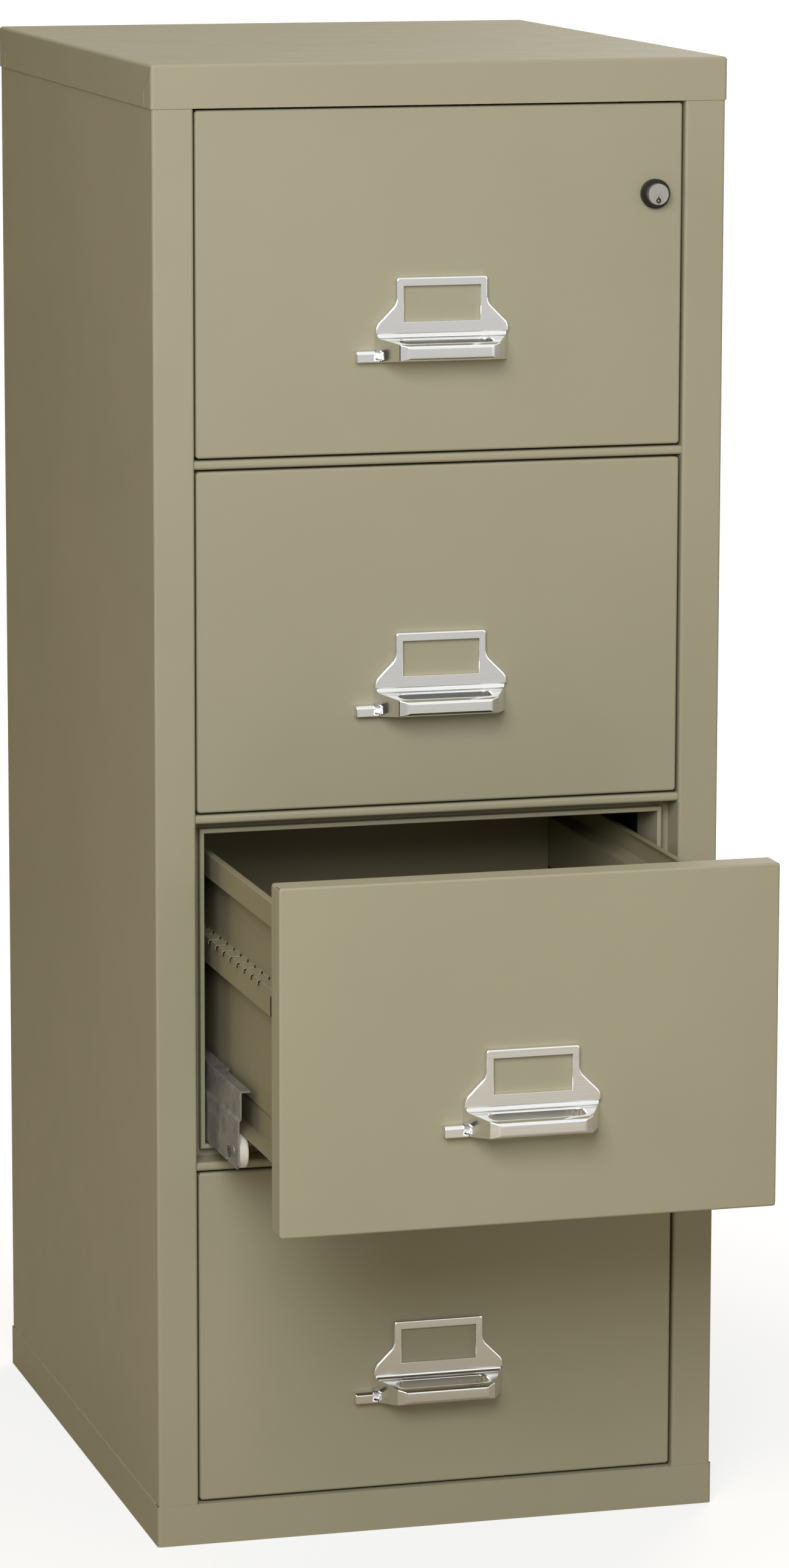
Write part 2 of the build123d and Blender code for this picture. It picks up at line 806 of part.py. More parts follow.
def make_slides(n):
    """Pair of galvanised sliding members with the pins of their rollers."""
    shift = slide_share * out(n)
    low = slide_bottom(n)
    top = low + slide_height
    front = slide_front_y - shift
    back = slide_back_y - shift
    with BuildPart() as slides:
        with BuildSketch(wall_plane(back)):
            with BuildLine():
                FilletPolyline(
                    (web_low_out, low),
                    (web_low_out, low + joggle_level),
                    (web_high_out, low + joggle_level + joggle_rise),
                    (web_high_out, top),
                    (web_high_in - slide_flange_wide, top),
                    radius=slide_bend,
                )
                offset(amount=slide_sheet, side=Side.LEFT)
            make_face()
        extrude(amount=back - front)
        # Narrow flange in front of the notch
        with BuildSketch(Plane.XY.offset(top - 2 * slide_sheet)):
            across(
                (web_high_in - slide_flange_wide - cut_over, front),
                (web_high_in - slide_flange, front + slide_notch_back),
            )
        extrude(amount=3 * slide_sheet, mode=Mode.SUBTRACT)
        # Cut corner of the nose, and a notch in the foot behind the roller
        with BuildSketch(Plane.YZ.offset(web_low_in - cut_over)):
            with BuildLine():
                Polyline(
                    (front - cut_over, low - cut_over),
                    (front + nose_cut, low - cut_over),
                    (front - cut_over, low + nose_cut),
                    close=True,
                )
            make_face()
            across(
                (front + foot_notch_back, low - cut_over),
                (front + foot_notch_back + foot_notch_length, low + foot_notch_height),
            )
        extrude(amount=slide_sheet + 2 * cut_over, mode=Mode.SUBTRACT)
        # Pin and rivet head of the front roller, inboard
        with BuildSketch(Plane.YZ.offset(front_roller_in - running_fit)):
            with Locations((front_roller_y - shift, low + front_roller_level)):
                Circle(pin_radius)
        extrude(amount=web_low_in - front_roller_in + running_fit)
        with BuildSketch(Plane.YZ.offset(front_roller_in - roller_side_gap - rivet_height)):
            with Locations((front_roller_y - shift, low + front_roller_level)):
                Circle(rivet_radius)
        extrude(amount=rivet_height)
        with BuildSketch(Plane.YZ.offset(front_roller_in - roller_side_gap)):
            with Locations((front_roller_y - shift, low + front_roller_level)):
                Circle(pin_radius)
        extrude(amount=roller_side_gap)
        with BuildSketch(Plane.YZ.offset(web_low_out)):
            with Locations((front_roller_y - shift, low + front_roller_level)):
                Circle(rivet_radius)
        extrude(amount=rivet_proud)
        # Pin of the rear roller, outboard
        with BuildSketch(Plane.YZ.offset(web_high_out)):
            with Locations((rear_roller_y - shift, low + rear_roller_level)):
                Circle(pin_radius)
        extrude(amount=roller_side_gap + rear_roller_width)
        mirror(about=Plane.YZ)
    write(slides, f"slides_{n}")


def make_roller_pair(name, inner_x, width, radius, y, z, has_edge=False):
    """Two nylon wheels with a running bore, one on each side."""
    with BuildPart() as rollers:
        with BuildSketch(Plane.YZ.offset(inner_x)):
            with Locations((y, z)):
                Circle(radius)
        extrude(amount=width)
        if has_edge:
            chamfer(rollers.edges().filter_by(GeomType.CIRCLE), roller_edge)
        with BuildSketch(Plane.YZ.offset(inner_x)):
            with Locations((y, z)):
                Circle(pin_radius + running_fit)
        extrude(amount=width, mode=Mode.SUBTRACT)
        mirror(about=Plane.YZ)
    write(rollers, name)


# Handle and latch

def make_handle(n):
    """Pull with a card window above and a finger loop below, on two studs."""
    face = face_y - out(n)
    base = handle_base(n)
    base_half = handle_base_width / 2
    top_half = handle_top_width / 2
    bevel_y = grip_bevel_depth - grip_reach
    bevel_low = grip_front_lift + grip_bevel_level
    front_high = grip_front_lift + grip_front_height
    shelf_front = -plate_thickness + shelf_recess
    from_side = Plane(origin=(-base_half, face, base), x_dir=(0, 1, 0), z_dir=(1, 0, 0))
    from_above = Plane(origin=(0, face, base))
    from_front = Plane(origin=(0, face, base), x_dir=(1, 0, 0), z_dir=(0, -1, 0))
    # Plate: straight beside the window, then flared to the grip; no bevel along its foot
    with BuildPart() as plate:
        with BuildSketch(from_front):
            with BuildLine():
                FilletPolyline(
                    (0, handle_height),
                    (top_half, handle_height),
                    (top_half, handle_height - neck_drop),
                    (base_half, handle_height - flare_drop),
                    (base_half, grip_back_height),
                    radius=[plate_corner, flare_radius, flare_radius],
                )
                Line((base_half, grip_back_height), (0, grip_back_height))
                mirror(about=Plane.YZ)
            make_face()
            with Locations((0, handle_height - window_drop - window_height / 2)):
                Rectangle(window_width, window_height, mode=Mode.SUBTRACT)
        extrude(amount=plate_thickness)
        plate_front = plate.faces().filter_by(Axis.Y).sort_by(Axis.Y)[0]
        chamfer(plate_front.outer_wire().edges().sort_by(Axis.Z)[2:], plate_edge)
    with BuildPart() as handle:
        # Grip: one profile across the handle, with a hollow under the plate
        with BuildSketch(from_side):
            with BuildLine():
                Polyline(
                    (shelf_front - shelf_radius, grip_back_height - shelf_radius),
                    (bevel_y, front_high),
                    (-grip_reach, front_high - grip_bevel_level),
                    (-grip_reach, bevel_low),
                    (bevel_y, grip_front_lift),
                    (0, 0),
                    (0, grip_back_height),
                    (shelf_front, grip_back_height),
                )
                CenterArc((shelf_front - shelf_radius, grip_back_height), shelf_radius, -90, 90)
            make_face()
        extrude(amount=handle_base_width)
        # Its outline from above: slanted ends and a bevel at the front
        with BuildSketch(from_above):
            with BuildLine():
                Polyline(
                    (-base_half, 0),
                    (-grip_front_width / 2, bevel_y),
                    (-grip_front_width / 2 + grip_bevel_side, -grip_reach),
                    (grip_front_width / 2 - grip_bevel_side, -grip_reach),
                    (grip_front_width / 2, bevel_y),
                    (base_half, 0),
                    close=True,
                )
            make_face()
        extrude(amount=grip_back_height, mode=Mode.INTERSECT)
        with BuildSketch(from_above):
            with Locations((0, -finger_setback - finger_depth / 2)):
                RectangleRounded(finger_width, finger_depth, finger_corner)
        extrude(amount=grip_back_height, mode=Mode.SUBTRACT)
        shelf = handle.faces().filter_by(lambda f: f.normal_at().Z > 0.9).sort_by(SortBy.AREA)[-1]
        chamfer(shelf.inner_wires()[0].edges(), finger_edge)
        add(plate.part)
        with BuildSketch(from_front.offset(-stud_length)):
            with Locations((-stud_spacing / 2, stud_level), (stud_spacing / 2, stud_level)):
                Circle(stud_radius)
        extrude(amount=stud_length)
        with BuildSketch(from_front.offset(-shell_sheet - nut_height)):
            with Locations((-stud_spacing / 2, stud_level), (stud_spacing / 2, stud_level)):
                RegularPolygon(nut_across / 2, 6, major_radius=False)
        extrude(amount=nut_height)
    write(handle, f"handle_{n}")


def make_thumb_latch(n):
    """Tab, stem, link, post and bevelled bolt in one piece."""
    shift = out(n)
    level = latch_z(n)
    y = latch_y - shift
    face = face_y - shift
    tab_half = tab_height / 2
    tab_back = face - sheet_play
    tab_front = tab_back - tab_reach
    end_slope = (handle_base_width - grip_front_width) / 2 / (grip_reach - grip_bevel_depth)
    with BuildPart() as thumb_latch:
        with BuildSketch(Plane.YZ.offset(tab_right - tab_width)):
            with BuildLine():
                Polyline(
                    (tab_back, level - tab_half),
                    (tab_front, level - tab_half),
                    (tab_front, level + tab_half - tab_slope),
                    (tab_front + tab_slope, level + tab_half),
                    (tab_back, level + tab_half),
                    close=True,
                )
            make_face()
        extrude(amount=tab_width)
        front_face = thumb_latch.faces().filter_by(Axis.Y).sort_by(Axis.Y)[0]
        chamfer(front_face.edges().filter_by(Axis.Z), tab_edge)
        # Low lip that follows the slanted end of the handle
        with BuildSketch(Plane.XY.offset(level - tab_half)):
            with BuildLine():
                Polyline(
                    (tab_right - tab_edge, tab_back),
                    (tab_right, tab_back),
                    (tab_right + (face - tab_front) * end_slope, tab_front),
                    (tab_right - tab_edge, tab_front),
                    close=True,
                )
            make_face()
        extrude(amount=lip_height)
        with BuildSketch(wall_plane(y)):
            with Locations((tab_centre, level)):
                Rectangle(stem_width, stem_width)
        extrude(amount=y - face + sheet_play)
        with BuildSketch(wall_plane(y + link_thickness)):
            across(
                (tab_centre - stem_width / 2, level - link_height / 2),
                (bolt_left, level + link_height / 2),
            )
        extrude(amount=link_thickness)
        with BuildSketch(Plane.XY.offset(level - link_height / 2)):
            with BuildLine():
                Polyline(
                    (bolt_left, y),
                    (bolt_left + post_width, y),
                    (bolt_left + post_width, bolt_front_y - shift),
                    (bolt_tip, bolt_front_y - shift),
                    (bolt_tip, bolt_back_y - bolt_bevel - shift),
                    (bolt_tip - bolt_bevel, bolt_back_y - shift),
                    (bolt_left, bolt_back_y - shift),
                    close=True,
                )
            make_face()
        extrude(amount=link_height)
    write(thumb_latch, f"thumb_latch_{n}")


# Lock

# The plunger's arm ends in a 45 degree ramp that presses the bar's ramp down
arm_front_y = face_y + shell_sheet + arm_setback
arm_back_y = arm_front_y + arm_thickness
arm_low = lock_z - arm_height / 2
arm_high = lock_z + arm_height / 2
ramp_front_y = arm_back_y + 2 * ramp_lead
ramp_back_y = bar_back_y
ramp_bottom = arm_low - ramp_foot
ramp_top = arm_high
ramp_start_y = arm_front_y + ramp_lead
tip_right = front_half - shell_sheet - ramp_gap
tip_left = tip_right - arm_thickness
lock_pocket = 2 * (arm_high - ramp_bottom + plunger_travel) - arm_height + 2 * link_play
lock_bar_top = lock_z + bar_head
plug_z = lock_z - plug_offset


def make_lock_collar():
    with BuildPart() as lock_collar:
        with BuildSketch(wall_plane(face_y)):
            with Locations((lock_x, lock_z)):
                Circle(collar_radius)
        extrude(amount=collar_reach)
        chamfer(lock_collar.edges().sort_by(Axis.Y)[0], collar_edge)
        with BuildSketch(wall_plane(face_y + shell_sheet)):
            with Locations((lock_x, lock_z)):
                Circle(collar_neck_radius - sheet_play)
        extrude(amount=shell_sheet)
        with BuildSketch(wall_plane(face_y + shell_sheet)):
            with Locations((lock_x, lock_z)):
                Circle(plunger_radius + running_fit)
        extrude(amount=shell_sheet + collar_reach, mode=Mode.SUBTRACT)
    write(lock_collar, "lock_collar")


def make_lock_plunger():
    """Knob with a bore for the key plug, and the arm behind it."""
    front = face_y - collar_reach - plunger_reach
    with BuildPart() as lock_plunger:
        with BuildSketch(wall_plane(arm_back_y)):
            with Locations((lock_x, lock_z)):
                Circle(plunger_radius)
        extrude(amount=arm_back_y - front)
        chamfer(lock_plunger.edges().sort_by(Axis.Y)[0], plunger_edge)
        with BuildSketch(wall_plane(arm_back_y)):
            across((lock_x, arm_low), (tip_left, arm_high))
        extrude(amount=arm_thickness)
        with BuildSketch(Plane.YZ.offset(tip_left)):
            with BuildLine():
                Polyline(
                    (arm_front_y, arm_low),
                    (ramp_start_y - ramp_gap, arm_low),
                    (ramp_start_y - ramp_gap + arm_height, arm_high),
                    (arm_front_y, arm_high),
                    close=True,
                )
            make_face()
        extrude(amount=arm_thickness)
        with BuildSketch(wall_plane(front + plug_length)):
            with Locations((lock_x, plug_z)):
                Circle(plug_radius + running_fit)
        extrude(amount=plug_length, mode=Mode.SUBTRACT)
        with BuildSketch(wall_plane(front + key_slit_depth)):
            across(
                (lock_x - key_slit_width / 2, lock_z - plunger_radius),
                (lock_x + key_slit_width / 2, plug_z),
            )
        extrude(amount=key_slit_depth, mode=Mode.SUBTRACT)
    write(lock_plunger, "lock_plunger")


def make_lock_plug():
    """Key plug, low in the knob: a round keyhole with a pin, and a pointed slot above it."""
    front = face_y - collar_reach - plunger_reach
    hole_z = lock_z - keyhole_drop
    with BuildPart() as lock_plug:
        with BuildSketch(wall_plane(front + plug_length)):
            with Locations((lock_x, plug_z)):
                Circle(plug_radius)
        extrude(amount=plug_length)
        with BuildSketch(wall_plane(front + keyhole_depth)):
            with Locations((lock_x, hole_z)):
                Circle(keyhole_radius)
            with BuildLine():
                Polyline(
                    (lock_x - keyway_width / 2, hole_z),
                    (lock_x + keyway_width / 2, hole_z),
                    (lock_x, hole_z + keyway_rise),
                    close=True,
                )
            make_face()
            with Locations((lock_x, hole_z)):
                Circle(key_pin_radius, mode=Mode.SUBTRACT)
        extrude(amount=keyhole_depth, mode=Mode.SUBTRACT)
        with BuildSketch(wall_plane(front + key_pin_set)):
            with Locations((lock_x, hole_z)):
                Circle(key_pin_radius)
        extrude(amount=key_pin_set, mode=Mode.SUBTRACT)
        with BuildSketch(wall_plane(front + key_slit_depth)):
            across(
                (lock_x - key_slit_width / 2, plug_z - plug_radius),
                (lock_x + key_slit_width / 2, hole_z - key_pin_radius),
            )
        extrude(amount=key_slit_depth, mode=Mode.SUBTRACT)
    write(lock_plug, "lock_plug")


def make_lock_bar():
    """Bar in the right stile: a ramp for the plunger and a lug for each drawer."""
    low = opening_bottom + bar_foot
    with BuildPart() as lock_bar:
        with BuildSketch(Plane.YZ.offset(bar_in)):
            across((bar_front_y, low), (bar_back_y, lock_bar_top))
        extrude(amount=bar_thickness)
        with BuildSketch(Plane.YZ.offset(lug_tip)):
            for n in range(1, drawer_count + 1):
                across((lug_front_y, lug_z(n) - lug_height / 2), (lug_back_y, lug_z(n) + lug_height / 2))
        extrude(amount=bar_in - lug_tip)
        with BuildSketch(Plane.YZ.offset(lug_tip)):
            with BuildLine():
                Polyline(
                    (ramp_front_y, ramp_bottom),
                    (ramp_back_y, ramp_bottom),
                    (ramp_back_y, ramp_top),
                    (ramp_start_y + arm_height, ramp_top),
                    (ramp_front_y, arm_low + ramp_front_y - ramp_start_y),
                    close=True,
                )
            make_face()
        extrude(amount=bar_in - lug_tip)
    write(lock_bar, "lock_bar")


def make_lock_bar_guides():
    """Clips on the back of the jamb that hold the bar."""
    wall = shell_sheet
    foot = opening_half + shell_sheet
    with BuildPart() as lock_bar_guides:
        for n in range(1, drawer_count + 1):
            level = cell_bottom(n) + (guide_level if n > 1 else top_guide_level)
            with BuildSketch(Plane.XY.offset(level)):
                across(
                    (foot, bar_front_y - bar_play - wall),
                    (bar_out + bar_play + wall, bar_back_y + bar_play + wall),
                )
                across_cut((foot, bar_front_y - bar_play), (bar_out + bar_play, bar_back_y + bar_play))
            extrude(amount=guide_height)
    write(lock_bar_guides, "lock_bar_guides")


front_roller_in = web_low_in - roller_side_gap - front_roller_width

make_side_panel("side_panel_left", has_lock_slots=False)
make_side_panel("side_panel_right", has_lock_slots=True)
make_back_panel()
make_top_cap()
make_base_plinth()
make_front_frame()
make_divider_rails()
make_insulation_sides()
make_insulation_back()
make_insulation_shelves()
make_liners()
make_cabinet_rails()
make_rail_glides()
make_lock_collar()
make_lock_plunger()
make_lock_plug()
make_lock_bar()
make_lock_bar_guides()

for n in range(1, drawer_count + 1):
    slide_shift = slide_share * out(n)
    make_front_panel(n)
    make_front_core(n)
    make_inner_panel(n)
    make_drawer_body(n)
    make_slides(n)
    make_handle(n)
    make_thumb_latch(n)
    make_roller_pair(
        f"front_rollers_{n}",
        front_roller_in,
        front_roller_width,
        front_roller_radius,
        front_roller_y - slide_shift,
        slide_bottom(n) + front_roller_level,
        has_edge=True,
    )
    make_roller_pair(
        f"rear_rollers_{n}",
        web_high_out + roller_side_gap,
        rear_roller_width,
        rear_roller_radius,
        rear_roller_y - slide_shift,
        slide_bottom(n) + rear_roller_level,
    )
    make_roller_pair(
        f"tail_rollers_{n}",
        web_high_in - roller_side_gap - tail_roller_width,
        tail_roller_width,
        tail_roller_radius,
        tail_roller_y - out(n),
        tail_roller_z(n),
    )
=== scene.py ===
"""Looks of the four-drawer fireproof filing cabinet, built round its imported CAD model.

Metres, in the CAD model's frame: X to the right, Y to the back, Z up, drawers opening
towards -Y. Drawers are numbered from the top.
"""

import json
import math

import bmesh
import bpy
from mathutils import Matrix, Vector


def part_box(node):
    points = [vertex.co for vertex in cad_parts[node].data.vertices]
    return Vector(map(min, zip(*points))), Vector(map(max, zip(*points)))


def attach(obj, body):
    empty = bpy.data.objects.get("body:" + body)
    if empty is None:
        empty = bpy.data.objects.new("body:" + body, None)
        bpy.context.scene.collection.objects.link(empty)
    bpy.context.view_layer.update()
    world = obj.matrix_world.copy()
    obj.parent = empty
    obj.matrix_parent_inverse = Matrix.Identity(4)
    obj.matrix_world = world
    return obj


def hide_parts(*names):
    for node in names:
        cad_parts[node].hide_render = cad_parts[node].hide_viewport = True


MM = 0.001
DRAWERS = (1, 2, 3, 4)

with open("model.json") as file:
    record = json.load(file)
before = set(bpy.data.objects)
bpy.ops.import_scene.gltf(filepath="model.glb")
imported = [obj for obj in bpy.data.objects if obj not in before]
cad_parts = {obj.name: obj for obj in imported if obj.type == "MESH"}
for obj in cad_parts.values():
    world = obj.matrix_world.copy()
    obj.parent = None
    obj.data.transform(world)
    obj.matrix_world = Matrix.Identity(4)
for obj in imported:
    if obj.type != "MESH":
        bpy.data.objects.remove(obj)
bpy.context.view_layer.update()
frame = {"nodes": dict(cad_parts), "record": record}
nodes = frame["nodes"]


# Colours, as linear values

PAINT = (0.356, 0.343, 0.252)
TUB_PAINT = (0.292, 0.270, 0.182)
# Liner: near black, painted shade for the inside of the cabinet
LINER_PAINTED_SHADE = (0.030, 0.029, 0.024)
SEAM_SHADE = (0.120, 0.105, 0.062)
CUT_SHADE = (0.014, 0.012, 0.008)
RIVET_SHADE = (0.075, 0.070, 0.064)
ZINC = (0.46, 0.455, 0.45)
ZINC_DARK = (0.27, 0.262, 0.262)
ZINC_SPECK = (0.66, 0.66, 0.66)
NYLON = (0.80, 0.79, 0.75)
CHROME = (0.90, 0.90, 0.89)
NICKEL = (0.37, 0.36, 0.335)
RUBBED_BRASS = (0.38, 0.355, 0.305)
BLACK = (0.012, 0.012, 0.012)
BROWNISH_BLACK = (0.026, 0.023, 0.020)
GYPSUM = (0.62, 0.60, 0.54)
FLOOR = (0.40, 0.362, 0.29)
FLAG = (0.035, 0.030, 0.022)
SIDE_CARD = (0.17, 0.13, 0.075)
BACKCLOTH = (0.60, 0.58, 0.54)
FILL_TINT = (1.0, 0.81, 0.50)
LAMP_TINT = (1.0, 0.99, 0.99)
SIDE_TINT = (1.0, 0.88, 0.66)
GLOW_TINT = (0.88, 0.93, 1.0)


# Small helpers for node trees

NOISE_SPREAD = (0.3, 0.7)  # where nearly all values of a noise pattern lie


class Tree:
    """A material's node tree, with short calls for the nodes used here."""

    def __init__(self, name):
        self.material = bpy.data.materials.new(name)
        self.material.use_nodes = True
        self.tree = self.material.node_tree
        self.shader = self.tree.nodes["Principled BSDF"]
        self.place = self.add("ShaderNodeTexCoord").outputs["Object"]

    def add(self, kind, **settings):
        node = self.tree.nodes.new(kind)
        for key, value in settings.items():
            setattr(node, key, value)
        return node

    def link(self, a, b):
        self.tree.links.new(a, b)

    def noise(self, scale, detail=2.0, roughness=0.5, stretch=None):
        """Noise on object coordinates; stretch squeezes the pattern along an axis."""
        node = self.add("ShaderNodeTexNoise")
        node.inputs["Scale"].default_value = scale
        node.inputs["Detail"].default_value = detail
        node.inputs["Roughness"].default_value = roughness
        place = self.place
        if stretch:
            mapping = self.add("ShaderNodeMapping")
            mapping.inputs["Scale"].default_value = stretch
            self.link(self.place, mapping.inputs["Vector"])
            place = mapping.outputs["Vector"]
        self.link(place, node.inputs["Vector"])
        return node.outputs["Fac"]

    def ramp(self, source, low, high, start=0.0, end=1.0):
        """Spreads a value from start..end to low..high."""
        node = self.add("ShaderNodeMapRange")
        node.inputs["From Min"].default_value = start
        node.inputs["From Max"].default_value = end
        node.inputs["To Min"].default_value = low
        node.inputs["To Max"].default_value = high
        self.link(source, node.inputs["Value"])
        return node.outputs["Result"]

    def mix(self, share, colour_a, colour_b):
        """Blends two colours, each given as numbers or as another node's output."""
        node = self.add("ShaderNodeMix", data_type="RGBA")
        self.link(share, node.inputs["Factor"])
        for socket, colour in ((node.inputs["A"], colour_a), (node.inputs["B"], colour_b)):
            if isinstance(colour, bpy.types.NodeSocket):
                self.link(colour, socket)
            else:
                socket.default_value = (*colour, 1.0)
        return node.outputs["Result"]

    def bump(self, height, strength, distance):
        """Raises the surface by a height pattern, up to distance in metres."""
        node = self.add("ShaderNodeBump")
        node.inputs["Strength"].default_value = strength
        node.inputs["Distance"].default_value = distance
        self.link(height, node.inputs["Height"])
        self.feed(node.outputs["Normal"], "Normal")

    def set(self, **values):
        """Sets numbers on the shader, by socket name with underscores for spaces."""
        for key, value in values.items():
            self.shader.inputs[key.replace("_", " ")].default_value = value

    def feed(self, source, socket):
        """Links a node's output to a socket of the shader."""
        self.link(source, self.shader.inputs[socket])

    def colour(self, pattern, colour_a, colour_b):
        """Base colour from colour_a to colour_b, following a pattern."""
        self.feed(self.mix(pattern, colour_a, colour_b), "Base Color")

    def roughness(self, scale, detail, low, high):
        """Roughness from low to high, following noise of its own."""
        self.feed(self.ramp(self.noise(scale, detail), low, high, *NOISE_SPREAD), "Roughness")


def scaled(colour, share):
    """A colour made darker or lighter by a factor."""
    return tuple(channel * share for channel in colour)


# Materials

def baked_enamel(name, colour):
    """Satin enamel on sheet steel: slight orange peel and a faint cloudiness."""
    t = Tree(name)
    cloud = t.ramp(t.noise(5.0, 3.0), 0.0, 1.0, 0.35, 0.65)
    t.colour(cloud, scaled(colour, 0.98), scaled(colour, 1.02))
    t.roughness(24.0, 4.0, 0.44, 0.52)
    t.bump(t.noise(420.0, 3.0), 0.08, 0.4 * MM)
    t.set(Specular_IOR_Level=0.32)
    return t.material


def mottled_zinc():
    """Hot-dip zinc with soft grey clouds, fine spangle and a slightly uneven skin."""
    t = Tree("mottled_zinc")
    cloud = t.ramp(t.noise(38.0, 6.0, 0.62), 0.0, 1.0, 0.33, 0.68)
    base = t.mix(cloud, ZINC_DARK, ZINC)
    specks = t.ramp(t.noise(420.0, 2.0), 0.0, 1.0, 0.66, 0.72)
    t.colour(specks, base, ZINC_SPECK)
    t.roughness(60.0, 5.0, 0.34, 0.58)
    t.bump(t.noise(160.0, 4.0), 0.12, 0.5 * MM)
    t.set(Metallic=0.75)
    return t.material


def bright_chrome():
    """Bright plate on a casting: long polishing streaks and slight buffing waves."""
    t = Tree("bright_chrome")
    streaks = t.ramp(t.noise(60.0, 5.0, 0.65, stretch=(0.3, 3.0, 20.0)), 0.0, 1.0, 0.32, 0.68)
    t.colour(streaks, scaled(CHROME, 0.90), CHROME)
    t.feed(t.ramp(streaks, 0.20, 0.11), "Roughness")
    t.bump(t.noise(26.0, 1.0), 0.08, 1.2 * MM)
    t.set(Metallic=1.0)
    return t.material


def worn_nickel():
    """Dull nickel with a fine grain and tiny pits."""
    t = Tree("worn_nickel")
    pits = t.ramp(t.noise(900.0, 3.0), 0.0, 1.0, 0.30, 0.62)
    t.colour(pits, scaled(NICKEL, 0.88), NICKEL)
    t.roughness(300.0, 3.0, 0.34, 0.50)
    t.bump(t.noise(1300.0, 2.0), 0.25, 0.2 * MM)
    t.set(Metallic=0.85)
    return t.material


def gloss_black():
    """Black enamel of the lock collar, with faint brownish patches."""
    t = Tree("gloss_black")
    t.colour(t.noise(260.0, 4.0), BLACK, BROWNISH_BLACK)
    t.roughness(180.0, 3.0, 0.26, 0.38)
    t.bump(t.noise(700.0, 2.0), 0.08, 0.2 * MM)
    t.set(Specular_IOR_Level=0.22)
    return t.material


def natural_nylon():
    """Moulded nylon: slightly waxy and see-through, with a faint moulding texture."""
    t = Tree("natural_nylon")
    t.colour(t.noise(120.0, 3.0), scaled(NYLON, 0.93), NYLON)
    t.roughness(300.0, 3.0, 0.36, 0.46)
    t.bump(t.noise(800.0, 2.0), 0.06, 0.2 * MM)
    t.set(Subsurface_Weight=0.25, Subsurface_Radius=(0.004, 0.004, 0.003))
    return t.material


def cast_gypsum():
    """Cast fireproof filling, chalky, with air pits."""
    t = Tree("cast_gypsum")
    t.colour(t.noise(60.0, 6.0), scaled(GYPSUM, 0.86), GYPSUM)
    t.bump(t.ramp(t.noise(350.0, 3.0), 0.0, 1.0, 0.30, 0.50), 0.5, 0.8 * MM)
    t.set(Roughness=0.92)
    return t.material


def liner_painted_shade():
    """Near-black colour of the liner sheets: painted shade for the dark inside of the cabinet."""
    t = Tree("liner_painted_shade")
    patches = t.noise(14.0, 5.0)
    t.colour(patches, scaled(LINER_PAINTED_SHADE, 0.8), scaled(LINER_PAINTED_SHADE, 1.2))
    t.roughness(50.0, 3.0, 0.48, 0.62)
    t.bump(t.noise(300.0, 2.0), 0.08, 0.3 * MM)
    return t.material


def key_brass():
    """Nickelled brass of the key plug, dull and rubbed."""
    t = Tree("key_brass")
    t.colour(t.noise(700.0, 3.0), scaled(NICKEL, 0.85), RUBBED_BRASS)
    t.roughness(400.0, 3.0, 0.32, 0.46)
    t.bump(t.noise(1200.0, 2.0), 0.2, 0.2 * MM)
    t.set(Metallic=0.85)
    return t.material


def shaded_cut(name, colour):
    """Painted shade for the dark inside of a narrow cut, seam or ring."""
    t = Tree(name)
    t.colour(t.noise(900.0, 3.0), scaled(colour, 0.7), scaled(colour, 1.3))
    t.roughness(500.0, 2.0, 0.6, 0.8)
    t.set(Specular_IOR_Level=0.15)
    return t.material


paint = baked_enamel("baked_enamel", PAINT)
tub_paint = baked_enamel("tub_enamel", TUB_PAINT)
zinc = mottled_zinc()
chrome = bright_chrome()
nickel = worn_nickel()
black = gloss_black()
nylon = natural_nylon()
gypsum = cast_gypsum()
liner_shade_finish = liner_painted_shade()
brass = key_brass()
# Painted shade: near black inside slots, slits and notches, dark along the cap seams
painted_gap_shade = shaded_cut("painted_gap_shade", CUT_SHADE)
seam_line = shaded_cut("seam_line", SEAM_SHADE)
# Painted shade round the rivet heads
rivet_shade = shaded_cut("rivet_shade", RIVET_SHADE)

FINISH_OF_SLOT = {
    "beige_paint": paint,
    "drawer_paint": tub_paint,
    "cast_insulation": gypsum,
    "liner_steel": liner_shade_finish,
    "zinc": zinc,
    "nylon": nylon,
    "chrome_plate": chrome,
    "black_enamel": black,
    "brass_key_plug": brass,
}


def dress_cad_nodes():
    """Gives each CAD node the finish of its material slot."""
    for part in frame["record"]["subparts"]:
        obj = nodes[part["node"]]
        obj.data.materials.clear()
        obj.data.materials.append(FINISH_OF_SLOT[part["material_slot"]])
    nodes["lock_plunger"].data.materials[0] = nickel


# Pulls and latches: the CAD shapes with their edges rounded by polishing

MERGE_DISTANCE = 0.005 * MM
FLAT_ANGLE = math.radians(0.5)  # faces that meet at less are one face
ROUNDED_ANGLE = math.radians(25)  # outer edges that turn more are rounded
SHARP_ANGLE = math.radians(50)
ROUNDING_SEGMENTS = 4
SAME_PLACE = 0.05 * MM

PULL_EDGE = 1.8 * MM
BAR_FACE = 0.2 * MM
WINDOW_DROP = 7.7 * MM
WINDOW_HEIGHT = 32.1 * MM
WINDOW_HALF = 35.6 * MM
WINDOW_SHARE = 0.12
GRIP_HEIGHT = 26.0 * MM
SHORT_EDGE = 2.5 * MM
SHORT_SHARE = 0.2
PLATE_SHARE = 0.4

LATCH_EDGE = 1.6 * MM
TAB_REACH = 8.1 * MM
TAB_END = 0.1 * MM
TAB_SHARE = 0.45
TAB_LEVEL = 6.0 * MM

SHUTTER_REACH = 2.6 * MM
SHUTTER_COVER = 2.0 * MM
SHUTTER_HEIGHT = 7.0 * MM
SHUTTER_GAP = 0.05 * MM
SHUTTER_WALL = 0.16 * MM
SHUTTER_EDGE = 0.05 * MM


def settled(obj):
    """Turns an object with modifiers into a plain mesh object."""
    graph = bpy.context.evaluated_depsgraph_get()
    mesh = bpy.data.meshes.new_from_object(obj.evaluated_get(graph), depsgraph=graph)
    mesh.name = obj.name
    obj.modifiers.clear()
    obj.data = mesh


